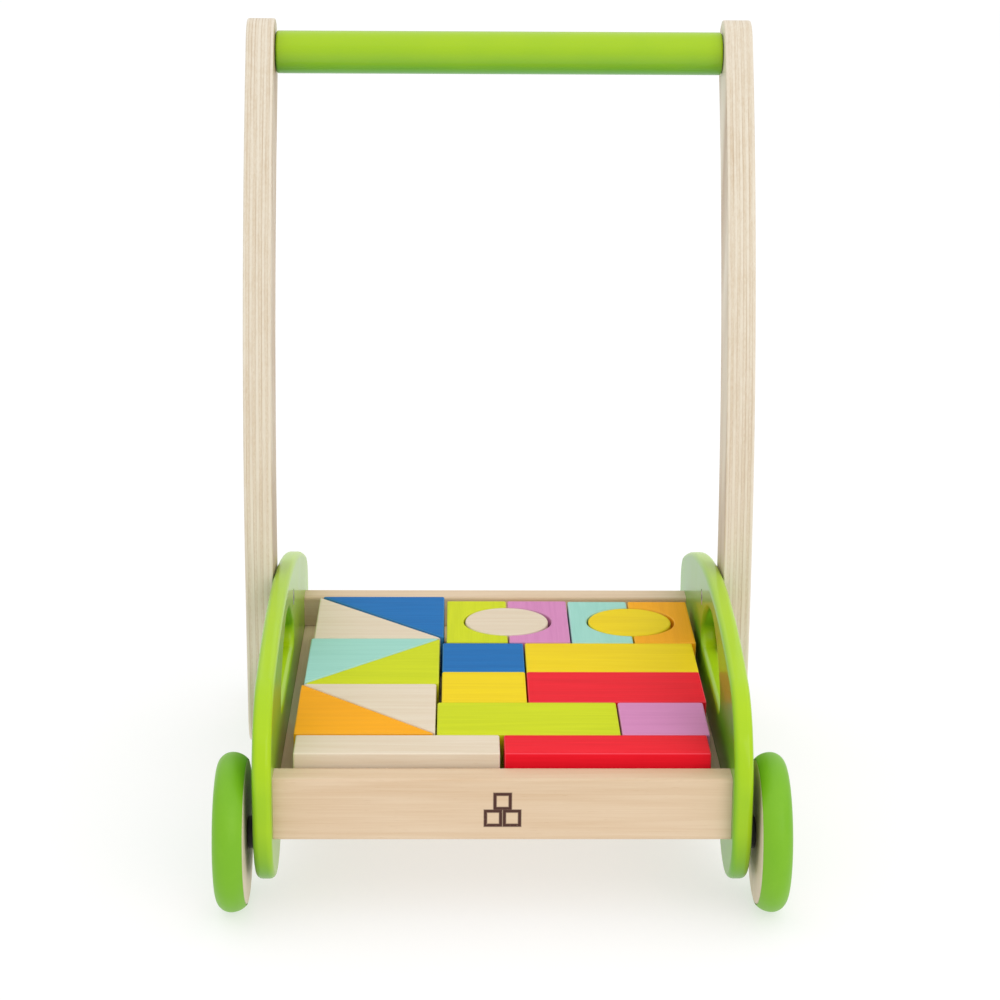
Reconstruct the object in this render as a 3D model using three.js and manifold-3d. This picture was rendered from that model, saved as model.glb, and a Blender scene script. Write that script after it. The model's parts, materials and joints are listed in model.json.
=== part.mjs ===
// Wooden push-along baby walker with a tray of building blocks.
// Millimetres, +Z up, +X to the right and -Y to the front, origin on the floor at the centre.
import * as THREE from 'three';
import { mergeVertices } from 'three/addons/utils/BufferGeometryUtils.js';
import Module from 'manifold-3d';

const wasm = await Module();
wasm.setup();

// ---------- overall size ----------
const OVERALL_WIDTH = 280;
const OVERALL_LENGTH = 355;
const OVERALL_HEIGHT = 410;

// ---------- clearances ----------
const FIT_GAP = 0.3;
const RUNNING_GAP = 0.3;
const SCREW_GAP = 0.4;
const OVERSHOOT = 1;

// ---------- wheels and axles ----------
const WHEEL_DIAMETER = 78.5;
const WHEEL_WIDTH = 15;
const WHEEL_FACE_RECESS = 1.5;
const WHEEL_SIDE_SPACE = 4;
const FLANGE_RADIUS_STEP = 4;
const FLANGE_THICKNESS = 3;
const TYRE_SEAT_STEP = 10;
const TYRE_CROWN_OFFSET = 7.8;
const TYRE_INNER_DROP = 3.7;
const AXLE_DIAMETER = 5;
const CAP_DIAMETER = 17;
const CAP_LENGTH = 5;
const CAP_POCKET_DEPTH = 6;
const CAP_WALL = 1.2;
const CAP_RIM_DROP = 2;
const CAP_SHOULDER_DROP = 0.6;
const CAP_CROWN_STEP = 4;
const DISC_CHAMFER = 0.9;
const SPACER_DIAMETER = 16;

const WHEEL_RADIUS = WHEEL_DIAMETER / 2;
const AXLE_HEIGHT = WHEEL_RADIUS;
const WHEELBASE = OVERALL_LENGTH - WHEEL_DIAMETER;
const WHEEL_INNER_X = OVERALL_WIDTH / 2 - WHEEL_WIDTH;
const AXLE_BORE_RADIUS = AXLE_DIAMETER / 2 + RUNNING_GAP;
const CAP_START = WHEEL_WIDTH - WHEEL_FACE_RECESS - CAP_POCKET_DEPTH + FIT_GAP;

// ---------- side panels ----------
const PANEL_THICKNESS = 9.5;
const PANEL_EDGE_ROUND = 3;
const PANEL_OVERHANG = 25.25;
const PANEL_CROWN_RADIUS = 460;
const PANEL_CROWN_Y = -25;
const PANEL_FRONT_SHOULDER_RADIUS = 50;
const PANEL_REAR_SHOULDER_RADIUS = 20;
const PANEL_LOBE_RADIUS = 38;
const PANEL_TOP_ABOVE_AXLE = 86.75;
const PANEL_BOTTOM_BELOW_AXLE = 27.25;
const UNDERSIDE_ABOVE_BOTTOM = 22;
const UNDERSIDE_RADIUS = 500;
const UNDERSIDE_FILLET = 30;
const WINDOW_CENTRE_Y = -28;
const WINDOW_ARC_RADIUS = 72;
const WINDOW_HEIGHT = 34;
const WINDOW_BELOW_TOP = 12.5;
const WINDOW_CORNER_RADIUS = 7;

const PANEL_OUTER_X = WHEEL_INNER_X - WHEEL_SIDE_SPACE;
const PANEL_INNER_X = PANEL_OUTER_X - PANEL_THICKNESS;
const PANEL_HALF_LENGTH = WHEELBASE / 2 + PANEL_OVERHANG;
const PANEL_TOP = AXLE_HEIGHT + PANEL_TOP_ABOVE_AXLE;
const PANEL_BOTTOM = AXLE_HEIGHT - PANEL_BOTTOM_BELOW_AXLE;

// ---------- tray ----------
const BOARD_THICKNESS = 15;
const BOARD_HEIGHT = 32;
const BOARD_EDGE_ROUND = 2;
const BOARD_END_CHAMFER = 0.6;
const BOARD_ABOVE_AXLE = AXLE_BORE_RADIUS;
const FRONT_BOARD_SETBACK = 8.5;
const BACK_BOARD_SETBACK = 27.5;
const FLOOR_THICKNESS = 5;
const FLOOR_TONGUE = 4;
const FLOOR_BELOW_BOARD_TOP = 17.5;
const BOARD_SCREW_BELOW_TOP = 9;

const BOARD_BOTTOM = AXLE_HEIGHT + BOARD_ABOVE_AXLE;
const BOARD_TOP = BOARD_BOTTOM + BOARD_HEIGHT;
const BOARD_LENGTH = 2 * (PANEL_INNER_X - FIT_GAP);
const FRONT_BOARD_Y = -PANEL_HALF_LENGTH + FRONT_BOARD_SETBACK + BOARD_THICKNESS / 2;
const BACK_BOARD_Y = PANEL_HALF_LENGTH - BACK_BOARD_SETBACK - BOARD_THICKNESS / 2;
const TRAY_FRONT_Y = FRONT_BOARD_Y + BOARD_THICKNESS / 2;
const TRAY_BACK_Y = BACK_BOARD_Y - BOARD_THICKNESS / 2;
const FLOOR_TOP = BOARD_TOP - FLOOR_BELOW_BOARD_TOP;
const BOARD_SCREW_Z = BOARD_TOP - BOARD_SCREW_BELOW_TOP;

// ---------- handle ----------
const ARM_THICKNESS = 15;
const ARM_WIDTH = 36;
const ARM_EDGE_ROUND = 2;
const ARM_LOWER_Y = 28;
const ARM_BEND_RADIUS = 560;
const ARM_BEND_ABOVE_AXLE = 71;
const ARM_END_ABOVE_AXLE = 2;
const HANDLE_DIAMETER = 23;
const HANDLE_END_ROUND = 1.5;
const UPPER_BOLT_ABOVE_AXLE = 66;
const LOWER_BOLT_ABOVE_AXLE = 11;

const ARM_INNER_X = PANEL_OUTER_X + FIT_GAP;
const ARM_OUTER_X = ARM_INNER_X + ARM_THICKNESS;
const ARM_HALF_WIDTH = ARM_WIDTH / 2;
const ARM_BEND_Z = AXLE_HEIGHT + ARM_BEND_ABOVE_AXLE;
const ARM_END_Z = AXLE_HEIGHT + ARM_END_ABOVE_AXLE;
const HANDLE_Z = OVERALL_HEIGHT - ARM_HALF_WIDTH;
const ARM_BEND_ANGLE = Math.asin((HANDLE_Z - ARM_BEND_Z) / ARM_BEND_RADIUS);
const HANDLE_Y = ARM_LOWER_Y + ARM_BEND_RADIUS * (1 - Math.cos(ARM_BEND_ANGLE));
const HANDLE_HALF_LENGTH = ARM_INNER_X - FIT_GAP;
const ARM_BOLT_HEIGHTS = {
  upper: AXLE_HEIGHT + UPPER_BOLT_ABOVE_AXLE,
  lower: AXLE_HEIGHT + LOWER_BOLT_ABOVE_AXLE,
};

// ---------- fasteners ----------
const BOLT = { shank: 4, head: 9, headHeight: 3.2, socket: 4, socketDepth: 1.8 };
const NUT = { barrel: 6.4, flange: 9, flangeThickness: 1.5, length: 7, web: 2, socketDepth: 1 };
const WOOD_SCREW = { shank: 3.6, head: 7.4, headHeight: 2.8, socket: 3.4, socketDepth: 1.6 };
const HEAD_CHAMFER = 0.5;
const SCREW_TIP = 2;
const HEAD_BELOW_FACE = 0.6;
const BOARD_SCREW_BITE = 28;
const HANDLE_SCREW_BITE = 32;

// ---------- blocks ----------
const BLOCK_SIDE_PLAY = 17.8;
const BLOCK_END_PLAY = 32;
const BLOCK_HEIGHT = 24;
const BLOCK_EDGE_ROUND = 1.1;
const BLOCK_CORNER_ROUND = 1.5;
const BLOCK_GAP = 0.8;
const DISC_GAP = 1;
const DISC_SHIFT = 0.5;
const WIDE_HALVES_GAP = 1.2;
const PLANK_SPACE = 1.4;
const SQUARE_PLAY = 1.4;
const SQUARE_STAGGER = 1.3;
const ROW_STAGGER = 2.1;
const BRIDGE_STAGGER = 0.9;
const BLOCK_UNIT = Math.min(
  (2 * PANEL_INNER_X - BLOCK_SIDE_PLAY) / 9,
  (TRAY_BACK_Y - TRAY_FRONT_Y - BLOCK_END_PLAY) / 10,
);
const BLOCK_SHORT = 1.965 * BLOCK_UNIT;
const BLOCK_LONG = 4.06 * BLOCK_UNIT;
const BLOCK_ROW = 2 * BLOCK_UNIT;
const BLOCK_SQUARE = 3.135 * BLOCK_UNIT;
const BRIDGE_WIDTH = 1.51 * BLOCK_UNIT;
const BRIDGE_DEPTH = 3.12 * BLOCK_UNIT;
const BRIDGE_RADIUS = 1.06 * BLOCK_UNIT;
const PLANK_LENGTH = 4.48 * BLOCK_UNIT;
const PLANK_DEPTH = 1.12 * BLOCK_UNIT;
const BLOCK_BASE_Z = FLOOR_TOP + FIT_GAP;

// ---------- colours, roughness and metalness ----------
const FINISH = {
  green: [0x9bcd2d, 0.25, 0],
  handleGreen: [0x86c63a, 0.25, 0],
  tyreGreen: [0x7cc138, 0.5, 0],
  ply: [0xe4d6bf, 0.6, 0],
  board: [0xe1cdaa, 0.6, 0],
  natural: [0xe6d9c4, 0.6, 0],
  steel: [0xb4b6b8, 0.3, 1],
  dark: [0x55524c, 0.45, 1],
  nylon: [0x2a2a2a, 0.5, 0],
  blue: [0x3273b9, 0.45, 0],
  yellow: [0xefd72b, 0.45, 0],
  lime: [0xcddc32, 0.45, 0],
  red: [0xe93347, 0.45, 0],
  orange: [0xf5aa1e, 0.45, 0],
  mint: [0xa0d7c8, 0.45, 0],
  lilac: [0xd28cbe, 0.45, 0],
};

// ---------- facets ----------
const SEGMENTS = { drill: 16, screw: 12, cap: 20, bar: 32, disc: 32, tyre: 40 };
const HEXAGON = 6;
const ARC_STEP = Math.PI / 14;
const WINDOW_ARC_STEP = Math.PI / 18;
const CROWN_ARC_STEP = 0.05;
const UNDERSIDE_ARC_STEP = 0.05;
const ARM_BEND_STEP = Math.PI / 90;
const ARM_END_STEP = Math.PI / 12;
const BAR_END_STEP = Math.PI / 6;
const TYRE_ARC_STEP = Math.PI / 10;
const BRIDGE_ARC_STEP = Math.PI / 12;
const CORNER_ARC_STEP = Math.PI / 4;
const MERGE_DISTANCE = 1e-4;
const SAME_POINT = 0.02;
const FULL_TURN = 2 * Math.PI;
const walker = new THREE.Group();

// ---------- mesh helpers ----------
// A closed geometry with merged vertices, no collapsed triangles and outward faces.
function closed(geometry) {
  const bare = geometry.index ? geometry.toNonIndexed() : geometry.clone();
  bare.deleteAttribute('normal');
  bare.deleteAttribute('uv');
  const merged = mergeVertices(bare, MERGE_DISTANCE);
  const position = merged.attributes.position;
  const source = merged.index.array;
  const kept = [];
  const corners = [new THREE.Vector3(), new THREE.Vector3(), new THREE.Vector3()];
  let volume = 0;
  for (let i = 0; i < source.length; i += 3) {
    const triangle = [source[i], source[i + 1], source[i + 2]];
    if (new Set(triangle).size < 3) continue;
    triangle.forEach((vertex, k) => corners[k].fromBufferAttribute(position, vertex));
    volume += corners[0].dot(corners[1].clone().cross(corners[2])) / 6;
    kept.push(triangle);
  }
  const order = volume < 0 ? [0, 2, 1] : [0, 1, 2];
  merged.setIndex(kept.flatMap((triangle) => order.map((k) => triangle[k])));
  return merged;
}

function toSolid(geometry) {
  const clean = closed(geometry);
  const mesh = new wasm.Mesh({
    numProp: 3,
    vertProperties: Float32Array.from(clean.attributes.position.array),
    triVerts: Uint32Array.from(clean.index.array),
  });
  return new wasm.Manifold(mesh);
}

// One shape with the given cutters taken out of it.
function cut(geometry, cutters) {
  let solid = toSolid(geometry);
  for (const cutter of cutters) {
    solid = solid.subtract(toSolid(cutter));
  }
  const mesh = solid.getMesh();
  const result = new THREE.BufferGeometry();
  result.setAttribute('position', new THREE.BufferAttribute(mesh.vertProperties, 3));
  result.setIndex(new THREE.BufferAttribute(mesh.triVerts, 1));
  return result;
}

function addPart(name, geometry, finish) {
  const shape = closed(geometry);
  shape.computeVertexNormals();
  const [color, roughness, metalness] = FINISH[finish];
  const mesh = new THREE.Mesh(shape, new THREE.MeshStandardMaterial({ color, roughness, metalness }));
  mesh.name = name;
  walker.add(mesh);
  return mesh;
}

// ---------- shape helpers ----------
// Points of an arc about (cx, cy), from angle a to angle b, both ends included.
function arc(cx, cy, radius, a, b, step = ARC_STEP) {
  const count = Math.max(2, Math.ceil(Math.abs(b - a) / step));
  return Array.from({ length: count + 1 }, (_, i) => {
    const angle = a + ((b - a) * i) / count;
    return new THREE.Vector2(cx + radius * Math.cos(angle), cy + radius * Math.sin(angle));
  });
}

// An outline without points that fall on each other.
function outline(points) {
  const kept = points.filter((point, i) => i === 0 || point.distanceTo(points[i - 1]) > SAME_POINT);
  if (kept[0].distanceTo(kept.at(-1)) < SAME_POINT) kept.pop();
  return kept;
}

// The meeting point of two circles that lies on the given side (+1 or -1) of the line between them.
function circlesMeet(a, radiusA, b, radiusB, side) {
  const between = b.clone().sub(a);
  const distance = between.length();
  const along = (radiusA ** 2 - radiusB ** 2 + distance ** 2) / (2 * distance);
  const across = Math.sqrt(radiusA ** 2 - along ** 2);
  const unit = between.divideScalar(distance);
  const normal = new THREE.Vector2(-unit.y, unit.x);
  return a.clone().addScaledVector(unit, along).addScaledVector(normal, side * across);
}

// A convex outline, its corners listed counter-clockwise and each rounded to the radius.
function roundedPolygon(corners, radius) {
  return corners.flatMap((corner, i) => {
    const incoming = corner.clone().sub(corners.at(i - 1)).normalize();
    const outgoing = corners[(i + 1) % corners.length].clone().sub(corner).normalize();
    const normal = new THREE.Vector2(incoming.y, -incoming.x);
    const sweep = Math.atan2(incoming.cross(outgoing), incoming.dot(outgoing));
    const reach = radius * Math.tan(sweep / 2);
    const centre = corner.clone().addScaledVector(incoming, -reach).addScaledVector(normal, -radius);
    return arc(centre.x, centre.y, radius, normal.angle(), normal.angle() + sweep, CORNER_ARC_STEP);
  });
}

function roundedRectangle(cx, cy, width, height, radius) {
  const signs = [[1, -1], [1, 1], [-1, 1], [-1, -1]];
  const corners = signs.map(([i, j]) => new THREE.Vector2(cx + i * width / 2, cy + j * height / 2));
  return roundedPolygon(corners, radius);
}

// A slab of the outline, its long edges rounded, lying between z = 0 and z = thickness.
function slab(points, thickness, edgeRound, edgeSteps = 2, holes = []) {
  const shape = new THREE.Shape(points);
  shape.holes = holes.map((hole) => new THREE.Path(hole));
  const geometry = new THREE.ExtrudeGeometry(shape, {
    depth: thickness - 2 * edgeRound,
    bevelEnabled: true,
    bevelThickness: edgeRound,
    bevelSize: edgeRound,
    bevelOffset: -edgeRound,
    bevelSegments: edgeSteps,
    steps: 1,
  });
  return geometry.translate(0, 0, edgeRound);
}

// Turns a slab drawn in (y, z) so that its thickness runs along +X, from the given X.
const SIDEWAYS = new THREE.Matrix4().makeBasis(
  new THREE.Vector3(0, 1, 0),
  new THREE.Vector3(0, 0, 1),
  new THREE.Vector3(1, 0, 0),
);
function sideways(geometry, x) {
  return geometry.applyMatrix4(SIDEWAYS).translate(x, 0, 0);
}

// A turned piece: profile points are (radius, distance along +X), on the given axis point.
function turned(profile, segments, x = 0, y = 0, z = 0, side = 1) {
  const points = profile.map(([radius, along]) => new THREE.Vector2(radius, along));
  const geometry = new THREE.LatheGeometry(points, segments);
  return geometry.rotateZ(-side * Math.PI / 2).translate(x, y, z);
}

// A round rod or drill along X, from x0 to x1.
function rodX(radius, x0, x1, y, z, segments = SEGMENTS.drill) {
  const low = Math.min(x0, x1);
  const high = Math.max(x0, x1);
  return turned([[0, 0], [radius, 0], [radius, high - low], [0, high - low]], segments, low, y, z);
}

// ---------- side panels ----------
function panelOutline() {
  const lobe = new THREE.Vector2(PANEL_HALF_LENGTH - PANEL_LOBE_RADIUS, PANEL_BOTTOM + PANEL_LOBE_RADIUS);
  const underZ = PANEL_BOTTOM + UNDERSIDE_ABOVE_BOTTOM;
  const under = new THREE.Vector2(0, underZ - UNDERSIDE_RADIUS);
  const fillet = circlesMeet(
    under, UNDERSIDE_RADIUS - UNDERSIDE_FILLET,
    lobe, PANEL_LOBE_RADIUS + UNDERSIDE_FILLET, 1,
  );
  const lobeToFillet = Math.atan2(fillet.y - lobe.y, fillet.x - lobe.x);
  const underAngle = Math.atan2(fillet.y - under.y, fillet.x - under.x);
  const crownZ = PANEL_TOP - PANEL_CROWN_RADIUS;
  // One end, from the underside centre round the lobe and shoulder to the highest point.
  const end = (side, shoulderRadius) => {
    const crownY = side * PANEL_CROWN_Y;
    const shoulderY = PANEL_HALF_LENGTH - shoulderRadius;
    const crownReach = PANEL_CROWN_RADIUS - shoulderRadius;
    const shoulderZ = crownZ + Math.sqrt(crownReach ** 2 - (shoulderY - crownY) ** 2);
    const crownAngle = Math.atan2(shoulderZ - crownZ, shoulderY - crownY);
    return [
      ...arc(under.x, under.y, UNDERSIDE_RADIUS, Math.PI / 2, underAngle, UNDERSIDE_ARC_STEP),
      ...arc(fillet.x, fillet.y, UNDERSIDE_FILLET, underAngle, lobeToFillet + Math.PI),
      ...arc(lobe.x, lobe.y, PANEL_LOBE_RADIUS, lobeToFillet, 0),
      ...arc(shoulderY, shoulderZ, shoulderRadius, 0, crownAngle),
      ...arc(crownY, crownZ, PANEL_CROWN_RADIUS, crownAngle, Math.PI / 2, CROWN_ARC_STEP),
    ].map((point) => new THREE.Vector2(side * point.x, point.y));
  };
  const front = end(-1, PANEL_FRONT_SHOULDER_RADIUS).reverse();
  return outline([...end(1, PANEL_REAR_SHOULDER_RADIUS), ...front]);
}

// A half-moon: a flat sill, rounded lower corners and one long arc over the top.
function windowOutline() {
  const top = PANEL_TOP - WINDOW_BELOW_TOP;
  const sill = top - WINDOW_HEIGHT;
  const centre = new THREE.Vector2(WINDOW_CENTRE_Y, top - WINDOW_ARC_RADIUS);
  const cornerZ = sill + WINDOW_CORNER_RADIUS;
  const reach = WINDOW_ARC_RADIUS - WINDOW_CORNER_RADIUS;
  const cornerY = Math.sqrt(reach ** 2 - (cornerZ - centre.y) ** 2);
  const meet = Math.atan2(cornerZ - centre.y, cornerY);
  const corner = (side, from, to) =>
    arc(centre.x + side * cornerY, cornerZ, WINDOW_CORNER_RADIUS, from, to);
  return outline([
    ...corner(1, -Math.PI / 2, meet),
    ...arc(centre.x, centre.y, WINDOW_ARC_RADIUS, meet, Math.PI - meet, WINDOW_ARC_STEP),
    ...corner(-1, Math.PI - meet, 1.5 * Math.PI),
  ]);
}

function addSidePanel(name, side) {
  const x = side > 0 ? PANEL_INNER_X : -PANEL_OUTER_X;
  const blank = sideways(
    slab(panelOutline(), PANEL_THICKNESS, PANEL_EDGE_ROUND, 2, [windowOutline()]), x);
  const inside = side * (PANEL_INNER_X - OVERSHOOT);
  const outside = side * (PANEL_OUTER_X + OVERSHOOT);
  const cutters = [];
  for (const end of [-1, 1]) {
    cutters.push(rodX(AXLE_BORE_RADIUS, inside, outside, end * WHEELBASE / 2, AXLE_HEIGHT));
  }
  const pocket = WOOD_SCREW.headHeight + HEAD_BELOW_FACE + SCREW_GAP;
  for (const y of [FRONT_BOARD_Y, BACK_BOARD_Y]) {
    cutters.push(rodX(WOOD_SCREW.shank / 2 + SCREW_GAP, inside, outside, y, BOARD_SCREW_Z));
    cutters.push(rodX(WOOD_SCREW.head / 2 + SCREW_GAP,
      side * (PANEL_OUTER_X - pocket), outside, y, BOARD_SCREW_Z));
  }
  for (const z of Object.values(ARM_BOLT_HEIGHTS)) {
    cutters.push(rodX(NUT.barrel / 2 + SCREW_GAP, inside, outside, ARM_LOWER_Y, z));
    cutters.push(rodX(NUT.flange / 2 + SCREW_GAP, inside,
      side * (PANEL_INNER_X + NUT.flangeThickness + SCREW_GAP), ARM_LOWER_Y, z));
  }
  addPart(name, cut(blank, cutters), 'green');
}

// ---------- tray ----------
function addBoard(name, y, grooveSide) {
  const blank = sideways(
    slab(roundedRectangle(y, (BOARD_BOTTOM + BOARD_TOP) / 2, BOARD_THICKNESS, BOARD_HEIGHT,
      BOARD_EDGE_ROUND), BOARD_LENGTH, BOARD_END_CHAMFER, 1), -BOARD_LENGTH / 2);
  const grooveHeight = FLOOR_THICKNESS + 2 * FIT_GAP;
  const grooveDepth = FLOOR_TONGUE + FIT_GAP;
  const groove = new THREE.BoxGeometry(BOARD_LENGTH + 2 * OVERSHOOT, 2 * grooveDepth, grooveHeight);
  groove.translate(0, y + grooveSide * BOARD_THICKNESS / 2, FLOOR_TOP - FLOOR_THICKNESS / 2);
  const bottom = BOARD_LENGTH / 2 - BOARD_SCREW_BITE - OVERSHOOT;
  const mouth = BOARD_LENGTH / 2 + OVERSHOOT;
  const pilots = [-1, 1].map((side) =>
    rodX(WOOD_SCREW.shank / 2 + SCREW_GAP, side * bottom, side * mouth, y, BOARD_SCREW_Z));
  addPart(name, cut(blank, [groove, ...pilots]), 'board');
}

function addTrayFloor() {
  const front = TRAY_FRONT_Y - FLOOR_TONGUE;
  const back = TRAY_BACK_Y + FLOOR_TONGUE;
  const floor = new THREE.BoxGeometry(BOARD_LENGTH, back - front, FLOOR_THICKNESS);
  floor.translate(0, (front + back) / 2, FLOOR_TOP - FLOOR_THICKNESS / 2);
  addPart('tray_floor', floor, 'natural');
}

// ---------- fasteners ----------
// A screw along X: its head's outer face is at x, and it points towards -side.
function screw(kind, length, x, y, z, side) {
  const head = kind.head / 2;
  const shank = kind.shank / 2;
  const end = -length - kind.headHeight;
  const profile = [
    [0, end], [shank / 2, end], [shank, end + SCREW_TIP], [shank, -kind.headHeight],
    [head, -kind.headHeight], [head, -HEAD_CHAMFER], [head - HEAD_CHAMFER, 0], [0, 0],
  ];
  const blank = turned(profile, SEGMENTS.screw, x, y, z, side);
  const socket = rodX(kind.socket / 2, x - side * kind.socketDepth, x + side * OVERSHOOT, y, z, HEXAGON);
  return cut(blank, [socket]);
}

function addBoardScrews(label, side) {
  const x = side * (PANEL_OUTER_X - HEAD_BELOW_FACE);
  const length = PANEL_THICKNESS - HEAD_BELOW_FACE - WOOD_SCREW.headHeight + BOARD_SCREW_BITE;
  for (const [end, y] of [['front', FRONT_BOARD_Y], ['rear', BACK_BOARD_Y]]) {
    addPart(`${end}_${label}_board_screw`, screw(WOOD_SCREW, length, x, y, BOARD_SCREW_Z, side), 'steel');
  }
}

function addArmFasteners(label, side) {
  const headX = side * (ARM_OUTER_X - HEAD_BELOW_FACE);
  const shankEnd = PANEL_INNER_X + NUT.web + FIT_GAP;
  const length = ARM_OUTER_X - HEAD_BELOW_FACE - BOLT.headHeight - shankEnd;
  for (const [level, z] of Object.entries(ARM_BOLT_HEIGHTS)) {
    const bolt = screw(BOLT, length, headX, ARM_LOWER_Y, z, side);
    addPart(`${label}_${level}_arm_bolt`, bolt, 'steel');
    const bore = BOLT.shank / 2 + RUNNING_GAP;
    const sleeve = [
      [0, 0], [NUT.flange / 2, 0], [NUT.flange / 2, NUT.flangeThickness],
      [NUT.barrel / 2, NUT.flangeThickness], [NUT.barrel / 2, NUT.length],
      [bore, NUT.length], [bore, NUT.web], [0, NUT.web],
    ];
    const nut = turned(sleeve, SEGMENTS.drill, side * PANEL_INNER_X, ARM_LOWER_Y, z, side);
    const socket = rodX(BOLT.socket / 2, side * (PANEL_INNER_X - OVERSHOOT),
      side * (PANEL_INNER_X + NUT.socketDepth), ARM_LOWER_Y, z, HEXAGON);
    addPart(`${label}_${level}_arm_nut`, cut(nut, [socket]), 'dark');
  }
}

// ---------- handle ----------
function armOutline() {
  const bend = new THREE.Vector2(ARM_LOWER_Y + ARM_BEND_RADIUS, ARM_BEND_Z);
  const from = Math.PI;
  const to = Math.PI - ARM_BEND_ANGLE;
  return outline([
    ...arc(ARM_LOWER_Y, ARM_END_Z, ARM_HALF_WIDTH, -Math.PI, 0, ARM_END_STEP),
    ...arc(bend.x, bend.y, ARM_BEND_RADIUS - ARM_HALF_WIDTH, from, to, ARM_BEND_STEP),
    ...arc(HANDLE_Y, HANDLE_Z, ARM_HALF_WIDTH, -ARM_BEND_ANGLE, Math.PI - ARM_BEND_ANGLE, ARM_END_STEP),
    ...arc(bend.x, bend.y, ARM_BEND_RADIUS + ARM_HALF_WIDTH, to, from, ARM_BEND_STEP),
  ]);
}

function addHandleArm(label, side) {
  const x = side > 0 ? ARM_INNER_X : -ARM_OUTER_X;
  const blank = sideways(slab(armOutline(), ARM_THICKNESS, ARM_EDGE_ROUND, 2), x);
  const inside = side * (ARM_INNER_X - OVERSHOOT);
  const outside = side * (ARM_OUTER_X + OVERSHOOT);
  const pocket = (kind) => side * (ARM_OUTER_X - HEAD_BELOW_FACE - kind.headHeight - SCREW_GAP);
  const cutters = [];
  for (const z of Object.values(ARM_BOLT_HEIGHTS)) {
    cutters.push(rodX(BOLT.shank / 2 + SCREW_GAP, inside, outside, ARM_LOWER_Y, z));
    cutters.push(rodX(BOLT.head / 2 + SCREW_GAP, pocket(BOLT), outside, ARM_LOWER_Y, z));
  }
  cutters.push(rodX(WOOD_SCREW.shank / 2 + SCREW_GAP, inside, outside, HANDLE_Y, HANDLE_Z));
  cutters.push(rodX(WOOD_SCREW.head / 2 + SCREW_GAP, pocket(WOOD_SCREW), outside, HANDLE_Y, HANDLE_Z));
  addPart(`${label}_handle_arm`, cut(blank, cutters), 'ply');
  const length = ARM_THICKNESS - HEAD_BELOW_FACE - WOOD_SCREW.headHeight + HANDLE_SCREW_BITE;
  const fixing = screw(WOOD_SCREW, length, side * (ARM_OUTER_X - HEAD_BELOW_FACE), HANDLE_Y, HANDLE_Z, side);
  addPart(`${label}_handle_screw`, fixing, 'steel');
}

function addHandleBar() {
  const radius = HANDLE_DIAMETER / 2;
  const rounded = radius - HANDLE_END_ROUND;
  const half = HANDLE_HALF_LENGTH;
  const start = arc(rounded, -half + HANDLE_END_ROUND, HANDLE_END_ROUND, -Math.PI / 2, 0, BAR_END_STEP);
  const end = arc(rounded, half - HANDLE_END_ROUND, HANDLE_END_ROUND, 0, Math.PI / 2, BAR_END_STEP);
  const profile = [[0, -half], ...start.map((p) => [p.x, p.y]), ...end.map((p) => [p.x, p.y]), [0, half]];
  const bar = turned(profile, SEGMENTS.bar, 0, HANDLE_Y, HANDLE_Z);
  const pilots = [-1, 1].map((side) => rodX(WOOD_SCREW.shank / 2 + SCREW_GAP,
    side * (half - HANDLE_SCREW_BITE - OVERSHOOT), side * (half + OVERSHOOT), HANDLE_Y, HANDLE_Z));
  addPart('handle_bar', cut(bar, pilots), 'handleGreen');
}

// ---------- wheels ----------
// Distances along a wheel are measured outwards from its inner face.
function discProfile() {
  const seat = WHEEL_RADIUS - TYRE_SEAT_STEP - FIT_GAP;
  const flange = WHEEL_RADIUS - FLANGE_RADIUS_STEP;
  const face = WHEEL_WIDTH - WHEEL_FACE_RECESS;
  const pocketFloor = face - CAP_POCKET_DEPTH;
  const pocket = CAP_DIAMETER / 2 + RUNNING_GAP;
  return [
    [AXLE_BORE_RADIUS, 0], [flange - DISC_CHAMFER, 0], [flange, DISC_CHAMFER],
    [flange, FLANGE_THICKNESS], [seat, FLANGE_THICKNESS], [seat, face - DISC_CHAMFER],
    [seat - DISC_CHAMFER, face], [pocket, face],
    [pocket, pocketFloor], [AXLE_BORE_RADIUS, pocketFloor], [AXLE_BORE_RADIUS, 0],
  ];
}

function tyreProfile() {
  const seat = WHEEL_RADIUS - TYRE_SEAT_STEP;
  const rebate = WHEEL_RADIUS - FLANGE_RADIUS_STEP + FIT_GAP;
  const crownDrop = TYRE_INNER_DROP;
  const innerRadius = (TYRE_CROWN_OFFSET ** 2 + crownDrop ** 2) / (2 * crownDrop);
  const innerAngle = Math.asin(TYRE_CROWN_OFFSET / innerRadius);
  const outerRadius = WHEEL_WIDTH - TYRE_CROWN_OFFSET;
  const point = (radius, along) => [radius, along];
  const inner = arc(0, 0, innerRadius, innerAngle, 0, TYRE_ARC_STEP);
  const outer = arc(0, 0, outerRadius, 0, Math.PI / 2, TYRE_ARC_STEP);
  return [
    point(rebate, FLANGE_THICKNESS + FIT_GAP),
    point(rebate, FIT_GAP),
    ...inner.map((p) => point(WHEEL_RADIUS - innerRadius + p.x, TYRE_CROWN_OFFSET - p.y)),
    ...outer.slice(1).map((p) => point(WHEEL_RADIUS - outerRadius + p.x, TYRE_CROWN_OFFSET + p.y)),
    point(seat, WHEEL_WIDTH),
    point(seat, FLANGE_THICKNESS + FIT_GAP),
    point(rebate, FLANGE_THICKNESS + FIT_GAP),
  ];
}

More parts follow.
